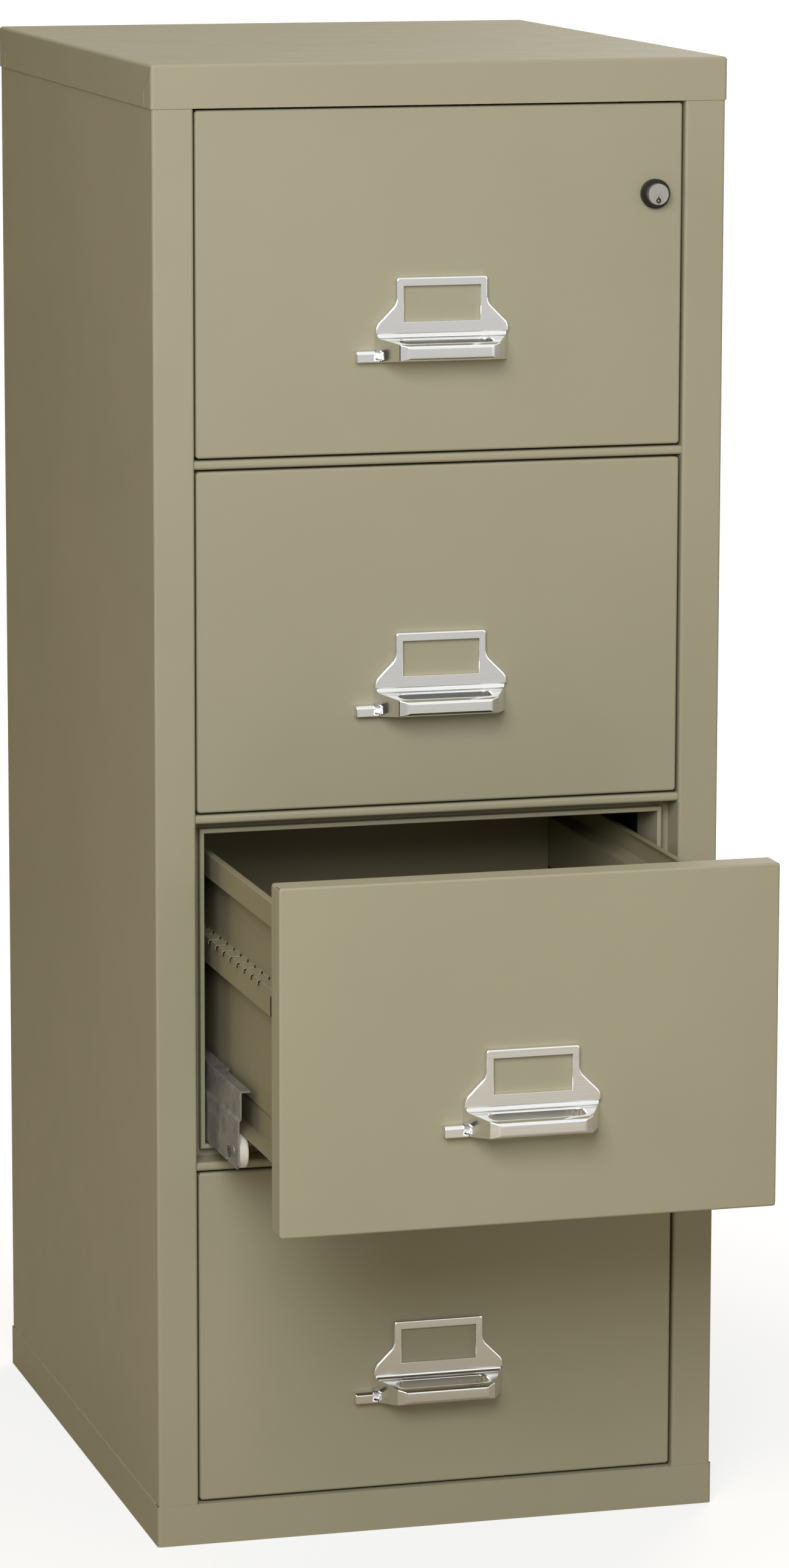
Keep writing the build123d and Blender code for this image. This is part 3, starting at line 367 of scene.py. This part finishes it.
def pull_rounding(a, b, low, high):
    """Share of the full rounding on the edge from a to b of a pull: most at the front bar."""
    top = high.z - WINDOW_DROP
    lower, upper = sorted((a.z, b.z))
    if max(a.y, b.y) < low.y + BAR_FACE:
        return 1.0
    beside = max(abs(a.x), abs(b.x))
    if beside < WINDOW_HALF and top - WINDOW_HEIGHT < lower and upper < top:
        return WINDOW_SHARE
    if upper < low.z + GRIP_HEIGHT and (b - a).length < SHORT_EDGE:
        return SHORT_SHARE
    return PLATE_SHARE


def latch_rounding(a, b, low, high):
    """The same for a thumb latch: the tab is rounded, most at its free end, and nothing inside."""
    if max(a.y, b.y) > low.y + TAB_REACH:
        return 0.0
    along = abs(a.x - b.x) < SAME_PLACE and abs(a.z - b.z) < SAME_PLACE
    return 1.0 if along and a.x < low.x + TAB_END else TAB_SHARE


def polished_copy(node, name, edge_radius, share_of, body):
    """A copy of a CAD node whose outer edges are rounded over, standing for that node."""
    low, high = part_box(node)
    solid = bmesh.new()
    solid.from_mesh(nodes[node].data)
    bmesh.ops.remove_doubles(solid, verts=solid.verts, dist=MERGE_DISTANCE)
    bmesh.ops.dissolve_limit(
        solid, angle_limit=FLAT_ANGLE, verts=solid.verts, edges=solid.edges
    )
    share = solid.edges.layers.float.new("bevel_weight_edge")
    for edge in solid.edges:
        if edge.is_convex and edge.calc_face_angle(0.0) > ROUNDED_ANGLE:
            edge[share] = share_of(edge.verts[0].co, edge.verts[1].co, low, high)
    mesh = bpy.data.meshes.new(name)
    solid.to_mesh(mesh)
    solid.free()
    mesh.shade_smooth()
    mesh.set_sharp_from_angle(angle=SHARP_ANGLE)
    mesh.materials.append(chrome)
    obj = bpy.data.objects.new(name, mesh)
    bpy.context.scene.collection.objects.link(obj)
    rounding = obj.modifiers.new("rounding", "BEVEL")
    rounding.width = edge_radius
    rounding.segments = ROUNDING_SEGMENTS
    rounding.limit_method = "WEIGHT"
    rounding.miter_outer = "MITER_ARC"
    rounding.use_clamp_overlap = False
    shading = obj.modifiers.new("shading", "WEIGHTED_NORMAL")
    shading.keep_sharp = True
    settled(obj)
    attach(obj, body)
    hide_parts(node)


def make_slot_shutter(n):
    """Thin painted shutter behind the tab, which keeps its slot in the head closed."""
    low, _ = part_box(f"thumb_latch_{n}")
    head_low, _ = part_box(f"front_panel_{n}")
    level = low.z + TAB_LEVEL
    left = low.x - SHUTTER_REACH
    right = low.x + SHUTTER_COVER
    back = head_low.y - SHUTTER_GAP
    half = SHUTTER_HEIGHT / 2
    foot = level - half
    top = level + half
    corners = [(left, back, foot), (right, back, foot), (right, back, top), (left, back, top)]
    mesh = bpy.data.meshes.new(f"slot_shutter_{n}")
    mesh.from_pydata(corners, [], [(0, 1, 2, 3)])
    mesh.materials.append(paint)
    obj = bpy.data.objects.new(f"slot_shutter_{n}", mesh)
    bpy.context.scene.collection.objects.link(obj)
    wall = obj.modifiers.new("wall", "SOLIDIFY")
    wall.thickness = SHUTTER_WALL
    wall.offset = 1.0
    edge = obj.modifiers.new("edge", "BEVEL")
    edge.width = SHUTTER_EDGE
    edge.segments = 2
    settled(obj)
    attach(obj, f"thumb_latch_{n}")


def make_pull_and_latch(n):
    """Pull, thumb latch and slot shutter of one drawer."""
    latch = f"thumb_latch_{n}"
    polished_copy(f"handle_{n}", f"pull_{n}", PULL_EDGE, pull_rounding, f"drawer_{n}")
    polished_copy(latch, f"latch_{n}", LATCH_EDGE, latch_rounding, latch)
    make_slot_shutter(n)


# Slots, seams and weld marks: beads that follow paths

BEND_POINTS = 4
BEAD_SIDES = 8
BEAD_SHARP_ANGLE = math.radians(60)
RING_POINTS = 20


def make_bead_tree():
    """Sweeps a round bead along each path of its mesh, and repeats the result in a row."""
    tree = bpy.data.node_groups.new("beads_along_paths", "GeometryNodeTree")
    put = tree.nodes.new
    tie = tree.links.new
    sockets = (
        ("Paths", "NodeSocketGeometry"),
        ("Radius", "NodeSocketFloat"),
        ("Bend", "NodeSocketFloat"),
        ("Count", "NodeSocketInt"),
        ("Step", "NodeSocketVector"),
        ("Finish", "NodeSocketMaterial"),
    )
    for name, kind in sockets:
        tree.interface.new_socket(name, in_out="INPUT", socket_type=kind)
    tree.interface.new_socket("Beads", in_out="OUTPUT", socket_type="NodeSocketGeometry")
    given = put("NodeGroupInput").outputs
    result = put("NodeGroupOutput")
    curve = put("GeometryNodeMeshToCurve")
    bend = put("GeometryNodeFilletCurve")
    bend.mode = "POLY"
    bend.inputs["Count"].default_value = BEND_POINTS
    section = put("GeometryNodeCurvePrimitiveCircle")
    section.inputs["Resolution"].default_value = BEAD_SIDES
    sweep = put("GeometryNodeCurveToMesh")
    sweep.inputs["Fill Caps"].default_value = True
    row = put("GeometryNodeMeshLine")
    place = put("GeometryNodeInstanceOnPoints")
    join = put("GeometryNodeRealizeInstances")
    coat = put("GeometryNodeSetMaterial")
    tie(given["Paths"], curve.inputs["Mesh"])
    tie(curve.outputs["Curve"], bend.inputs["Curve"])
    tie(given["Bend"], bend.inputs["Radius"])
    tie(given["Radius"], section.inputs["Radius"])
    tie(bend.outputs["Curve"], sweep.inputs["Curve"])
    tie(section.outputs["Curve"], sweep.inputs["Profile Curve"])
    tie(given["Count"], row.inputs["Count"])
    tie(given["Step"], row.inputs["Offset"])
    tie(row.outputs["Mesh"], place.inputs["Points"])
    tie(sweep.outputs["Mesh"], place.inputs["Instance"])
    tie(place.outputs["Instances"], join.inputs["Geometry"])
    tie(join.outputs["Geometry"], coat.inputs["Geometry"])
    tie(given["Finish"], coat.inputs["Material"])
    tie(coat.outputs["Geometry"], result.inputs["Beads"])
    return tree


bead_tree = make_bead_tree()


def beads(name, paths, radius, finish, body, slot, bend=0.0, count=1, step=(0.0, 0.0, 0.0)):
    """Beads along the given paths on one body; each path is its points and whether it closes."""
    points = []
    edges = []
    for path, closed in paths:
        start = len(points)
        points.extend(path)
        edges.extend((start + i, start + i + 1) for i in range(len(path) - 1))
        if closed:
            edges.append((len(points) - 1, start))
    mesh = bpy.data.meshes.new(name)
    mesh.from_pydata(points, edges, [])
    obj = bpy.data.objects.new(name, mesh)
    bpy.context.scene.collection.objects.link(obj)
    sweep = obj.modifiers.new("beads", "NODES")
    sweep.node_group = bead_tree
    inputs = {item.name: item.identifier for item in bead_tree.interface.items_tree}
    sweep[inputs["Radius"]] = radius
    sweep[inputs["Bend"]] = bend
    sweep[inputs["Count"]] = count
    sweep[inputs["Step"]] = step
    sweep[inputs["Finish"]] = finish
    settled(obj)
    obj.data.shade_smooth()
    obj.data.set_sharp_from_angle(angle=BEAD_SHARP_ANGLE)
    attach(obj, body)


def circle(radius):
    """Points round a circle, each as its offsets across and up."""
    turns = (2 * math.pi * i / RING_POINTS for i in range(RING_POINTS))
    return [(radius * math.cos(turn), radius * math.sin(turn)) for turn in turns]


RIB_INSET = 2.5 * MM
WALL_INSET = 12.5 * MM
SHOULDER_DROP = 77.1 * MM
SLOT_RADIUS = 0.6 * MM
SLOT_SINK = 0.35 * MM
SLOT_HOOK = 3.4 * MM
SLOT_LEAN = 1.5 * MM
SLOT_SLOPE = 0.3 * MM
SLOT_BEND = 1.9 * MM
SLOT_PITCH = 25.4 * MM
SLOT_COUNT = 16
FIRST_SLOT = 103.0 * MM
LIP_RADIUS = 0.45 * MM
LIP_RISE = 0.55 * MM
UPRIGHT_RADIUS = 0.5 * MM
NARROW_SLOT = 18.0 * MM
NARROW_SLOT_AHEAD = 45.0 * MM
NARROW_SLOT_DROP = 4.0 * MM
LOW_SLOT = 16.0 * MM
LOW_SLOT_AHEAD = 15.0 * MM
LOW_SLOT_LEVEL = 40.0 * MM


def make_tub_slots(n):
    """Slots across the shoulder of the tub's ribs, and two upright ones further forward."""
    low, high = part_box(f"drawer_body_{n}")
    rib = high.x - RIB_INSET - SLOT_SINK
    wall = high.x - WALL_INSET - SLOT_SINK
    shoulder = high.z - SHOULDER_DROP - SLOT_SINK
    y = low.y + FIRST_SLOT
    ahead = y - NARROW_SLOT_AHEAD
    narrow_top = shoulder - NARROW_SLOT_DROP
    foot = low.z + LOW_SLOT_LEVEL
    across = []
    upright = []
    for side in (-1, 1):
        across.append(([
            (side * wall, y - SLOT_LEAN, shoulder + SLOT_HOOK),
            (side * wall, y, shoulder + SLOT_SLOPE),
            (side * rib, y, shoulder),
            (side * rib, y - SLOT_LEAN, shoulder - SLOT_HOOK),
        ], False))
        upright.append(([
            (side * rib, ahead, narrow_top),
            (side * rib, ahead, narrow_top - NARROW_SLOT),
        ], False))
        upright.append(([
            (side * wall, y - LOW_SLOT_AHEAD, foot),
            (side * wall, y - LOW_SLOT_AHEAD, foot + LOW_SLOT),
        ], False))
    lips = [
        ([
            (x + math.copysign(LIP_RISE, x), place + LIP_RISE, z + LIP_RISE)
            for x, place, z in path
        ], closed)
        for path, closed in across
    ]
    row = {"bend": SLOT_BEND, "count": SLOT_COUNT, "step": (0.0, SLOT_PITCH, 0.0)}
    body = f"drawer_{n}"
    # The slots are dark beads of painted shade; the lips beside them are raised paint
    beads(f"rib_slots_{n}", across, SLOT_RADIUS, painted_gap_shade, body, "drawer_paint", **row)
    beads(f"slot_lips_{n}", lips, LIP_RADIUS, tub_paint, body, "drawer_paint", **row)
    beads(f"upright_slots_{n}", upright, UPRIGHT_RADIUS, painted_gap_shade, body, "drawer_paint")


HEAD_CORNER = 3.0 * MM
SLIT_LENGTH = 13.0 * MM
SLIT_START = 1.2 * MM
SLIT_SINK = 0.25 * MM
SLIT_RADIUS = 0.45 * MM


def make_corner_slits(n):
    """Open end of the folded corner at each corner of the drawer head, drawn as a dark bead of
    painted shade.
    """
    low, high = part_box(f"front_panel_{n}")
    inset = HEAD_CORNER * (1 - math.cos(math.radians(45))) + SLIT_SINK
    front = low.y + SLIT_START
    paths = []
    for z in (low.z + inset, high.z - inset):
        for x in (low.x + inset, high.x - inset):
            paths.append(([(x, front, z), (x, front + SLIT_LENGTH, z)], False))
    beads(f"corner_slits_{n}", paths, SLIT_RADIUS, painted_gap_shade, f"drawer_{n}", "beige_paint")


RIVET_RINGS = (("outer", 5.0 * MM, 0.5 * MM), ("inner", 2.4 * MM, 0.45 * MM))
RIVET_RING_SINK = 0.15 * MM


def make_rivet_rings(n):
    """Rings of the rivet that carries each front roller in the sliding member, coloured dark as
    painted shade round its head.
    """
    low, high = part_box(f"front_rollers_{n}")
    _, slide_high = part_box(f"slides_{n}")
    x = slide_high.x - RIVET_RING_SINK
    y = (low.y + high.y) / 2
    z = (low.z + high.z) / 2
    for name, radius, bead in RIVET_RINGS:
        rings = [
            ([(side * x, y + across, z + up) for across, up in circle(radius)], True)
            for side in (-1, 1)
        ]
        beads(f"rivet_rings_{name}_{n}", rings, bead, rivet_shade, f"slides_{n}", "zinc")


SEAM_SINK = 0.12 * MM
SEAM_RADIUS = 0.22 * MM
SEAM_END = 1.5 * MM
SEAM_DROP = 2.5 * MM
LAP = 27.0 * MM
LAP_DROP = 22.5 * MM
LAP_FOOT = 0.4 * MM
LAP_RADIUS = 0.30 * MM
NOTCHES = ((1.0 * MM, 4.0 * MM), (8.0 * MM, 9.5 * MM))
NOTCH_SINK = 0.6 * MM
NOTCH_RADIUS = 0.45 * MM


def make_shell_seams():
    """Welded laps at the corners of the cap and the plinth; the dark lines along the cap seams and
    in the plinth's notches are painted shade.
    """
    cap_low, cap_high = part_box("top_cap")
    _, foot_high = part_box("base_plinth")
    lap_top = cap_high.z - LAP_DROP
    slanted = []
    upright = []
    notches = []
    for side in (-1, 1):
        x = side * (cap_high.x - SEAM_SINK)
        notch_x = x - side * NOTCH_SINK
        for end in (-1, 1):
            y = end * (cap_high.y - SEAM_END)
            lap = end * (cap_high.y - LAP)
            slanted.append(([(x, y, cap_high.z - SEAM_DROP), (x, lap, lap_top)], False))
            upright.append(([(x, lap, lap_top), (x, lap, cap_low.z + LAP_FOOT)], False))
            for start, stop in NOTCHES:
                notches.append(([
                    (notch_x, end * (foot_high.y - start), foot_high.z),
                    (notch_x, end * (foot_high.y - stop), foot_high.z),
                ], False))
    beads("cap_seams", slanted, SEAM_RADIUS, seam_line, "cabinet", "beige_paint")
    beads("cap_weld_beads", upright, LAP_RADIUS, paint, "cabinet", "beige_paint")
    beads("plinth_notches", notches, NOTCH_RADIUS, painted_gap_shade, "cabinet", "beige_paint")


WELD_COUNT = 10
WELD_MARGIN = 60.0 * MM
WELD_INSET = 12.0 * MM
WELD_SINK = 0.05 * MM
WELD_RADIUS = 2.8 * MM
WELD_BEAD = 0.25 * MM


def make_back_welds():
    """Spot weld rings down both edges of the back panel."""
    low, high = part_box("back_panel")
    pitch = (high.z - low.z - 2 * WELD_MARGIN) / (WELD_COUNT - 1)
    y = high.y - WELD_SINK
    z = low.z + WELD_MARGIN
    rings = []
    for side in (-1, 1):
        x = side * (high.x - WELD_INSET)
        rings.append(([(x + across, y, z + up) for across, up in circle(WELD_RADIUS)], True))
    beads(
        "back_spot_welds", rings, WELD_BEAD, paint, "cabinet", "beige_paint",
        count=WELD_COUNT, step=(0.0, 0.0, pitch),
    )


dress_cad_nodes()
for n in DRAWERS:
    make_pull_and_latch(n)
for n in DRAWERS:
    make_tub_slots(n)
    make_corner_slits(n)
    make_rivet_rings(n)
make_shell_seams()
make_back_welds()


# Camera

CAMERA_PLACE = Vector((-1.460, -5.380, 1.654))
CAMERA_AZIMUTH = math.radians(-15.64)
CAMERA_DROP = math.radians(10.34)
CAMERA_ROLL = math.radians(0.12)
CAMERA_LENS = 136.7
SENSOR_WIDTH = 36.0
CLIP_START = 0.1
CLIP_END = 90.0


def make_camera():
    data = bpy.data.cameras.new("camera")
    data.sensor_width = SENSOR_WIDTH
    data.lens = CAMERA_LENS
    data.clip_start = CLIP_START
    data.clip_end = CLIP_END
    camera = bpy.data.objects.new("camera", data)
    bpy.context.scene.collection.objects.link(camera)
    camera.location = CAMERA_PLACE
    flat = math.cos(CAMERA_DROP)
    aim = Vector((
        -math.sin(CAMERA_AZIMUTH) * flat,
        math.cos(CAMERA_AZIMUTH) * flat,
        -math.sin(CAMERA_DROP),
    ))
    turn = aim.to_track_quat("-Z", "Y").to_matrix()
    roll = Matrix.Rotation(CAMERA_ROLL, 3, Vector((0, 0, 1)))
    camera.rotation_euler = (turn @ roll).to_euler()
    bpy.context.scene.camera = camera


# Floor, studio cards and light

FLOOR_HALF = 40.0

# Glow of the floor at the two ends of a reach: to the camera by the distance from the
# object's middle, and in reflections by Y
SHOWN_REACH = (0.5, 2.2)
SHOWN_LIFT = (0.74, 1.05)
MIRRORED_REACH = (-5.0, -0.4)
MIRRORED_LIFT = (0.52, 0.0)

FILL_STRENGTH = 0.31

# Name, corners and colour
CARDS = (
    ("left_flag", ((-2.6, -2.2, 0), (-2.6, 0.8, 0), (-2.6, 0.8, 2.6), (-2.6, -2.2, 2.6)), FLAG),
    ("side_card", ((-4.5, 2.5, 0), (-0.4, 2.5, 0), (-0.4, 2.5, 2.2), (-4.5, 2.5, 2.2)), SIDE_CARD),
    ("backcloth", ((-1.5, 3.5, 1), (4, 3.5, 1), (4, 3.5, 4.5), (-1.5, 3.5, 4.5)), BACKCLOTH),
)

# Name, place, target, width and height, power in watts, colour
LAMPS = (
    ("key", (-1.2, -3.0, 2.2), (0.0, -0.3, 0.8), (1.6, 1.6), 78.0, LAMP_TINT),
    ("overhead", (0.2, 0.7, 3.6), (0.1, 0.1, 0.0), (2.0, 2.0), 21.0, LAMP_TINT),
    ("front_fill", (2.4, -3.6, 1.7), (0.0, -0.3, 0.7), (2.0, 2.0), 12.0, LAMP_TINT),
    ("back_light", (2.3, 3.1, 2.1), (0.0, 0.1, 0.7), (2.2, 2.2), 49.0, LAMP_TINT),
    ("side_light", (-3.4, -1.3, 1.3), (-0.26, -0.2, 0.7), (1.0, 1.0), 10.0, SIDE_TINT),
)
UNREFLECTED_LAMPS = ("side_light",)


def pale_ground():
    """Pale floor that the camera sees as white, apart from the object's shadow.

    Reflections see it grey, brighter towards the front, as the metal shows it.
    """
    t = Tree("pale_ground")
    t.set(Roughness=0.9, Specular_IOR_Level=0.1)
    t.shader.inputs["Base Color"].default_value = (*FLOOR, 1.0)
    away = t.add("ShaderNodeVectorMath", operation="LENGTH")
    t.link(t.place, away.inputs[0])
    split = t.add("ShaderNodeSeparateXYZ")
    t.link(t.place, split.inputs[0])
    shown = t.ramp(away.outputs["Value"], *SHOWN_LIFT, *SHOWN_REACH)
    mirrored = t.ramp(split.outputs["Y"], *MIRRORED_LIFT, *MIRRORED_REACH)
    paths = t.add("ShaderNodeLightPath")
    glow = t.add("ShaderNodeMath", operation="ADD")
    for i, (ray, level) in enumerate((("Is Camera Ray", shown), ("Is Glossy Ray", mirrored))):
        share = t.add("ShaderNodeMath", operation="MULTIPLY")
        t.link(paths.outputs[ray], share.inputs[0])
        t.link(level, share.inputs[1])
        t.link(share.outputs[0], glow.inputs[i])
    t.shader.inputs["Emission Color"].default_value = (*GLOW_TINT, 1.0)
    t.feed(glow.outputs[0], "Emission Strength")
    return t.material


def make_sheet(name, corners, material):
    """A four-cornered sheet of the studio, which isn't part of the object."""
    mesh = bpy.data.meshes.new(name)
    mesh.from_pydata(corners, [], [(0, 1, 2, 3)])
    mesh.materials.append(material)
    sheet = bpy.data.objects.new(name, mesh)
    bpy.context.scene.collection.objects.link(sheet)
    return sheet


def make_floor():
    half = FLOOR_HALF
    corners = ((-half, -half, 0), (half, -half, 0), (half, half, 0), (-half, half, 0))
    make_sheet("floor", corners, pale_ground())


def make_card(name, corners, shade):
    """Studio card that only reflections see, for contrast in the metal and the paint."""
    t = Tree(name)
    t.shader.inputs["Base Color"].default_value = (*shade, 1.0)
    t.set(Roughness=1.0, Specular_IOR_Level=0.0)
    card = make_sheet(name, corners, t.material)
    card.visible_camera = False
    card.visible_diffuse = False
    card.visible_shadow = False
    card.visible_transmission = False


def make_lamp(name, place, target, size, power, tint):
    data = bpy.data.lights.new(name, "AREA")
    data.shape = "RECTANGLE"
    data.size, data.size_y = size
    data.energy = power
    data.color = tint
    lamp = bpy.data.objects.new(name, data)
    bpy.context.scene.collection.objects.link(lamp)
    lamp.location = place
    lamp.rotation_euler = (Vector(target) - Vector(place)).to_track_quat("-Z", "Y").to_euler()
    lamp.visible_glossy = name not in UNREFLECTED_LAMPS


def make_world():
    """Soft warm fill for the surfaces, and plain white where the camera or metal looks."""
    world = bpy.data.worlds.new("studio")
    bpy.context.scene.world = world
    world.use_nodes = True
    tree = world.node_tree
    tree.nodes.clear()
    paths = tree.nodes.new("ShaderNodeLightPath")
    seen = tree.nodes.new("ShaderNodeMath")
    seen.operation = "MAXIMUM"
    tree.links.new(paths.outputs["Is Camera Ray"], seen.inputs[0])
    tree.links.new(paths.outputs["Is Glossy Ray"], seen.inputs[1])
    fill = tree.nodes.new("ShaderNodeBackground")
    fill.inputs["Color"].default_value = (*FILL_TINT, 1.0)
    fill.inputs["Strength"].default_value = FILL_STRENGTH
    shown = tree.nodes.new("ShaderNodeBackground")
    shown.inputs["Color"].default_value = (1, 1, 1, 1)
    shown.inputs["Strength"].default_value = 1.0
    mix = tree.nodes.new("ShaderNodeMixShader")
    tree.links.new(seen.outputs[0], mix.inputs["Fac"])
    tree.links.new(fill.outputs[0], mix.inputs[1])
    tree.links.new(shown.outputs[0], mix.inputs[2])
    out = tree.nodes.new("ShaderNodeOutputWorld")
    tree.links.new(mix.outputs[0], out.inputs["Surface"])


make_camera()
make_floor()
for card in CARDS:
    make_card(*card)
make_world()
for lamp in LAMPS:
    make_lamp(*lamp)

bpy.context.scene.view_settings.view_transform = "Standard"
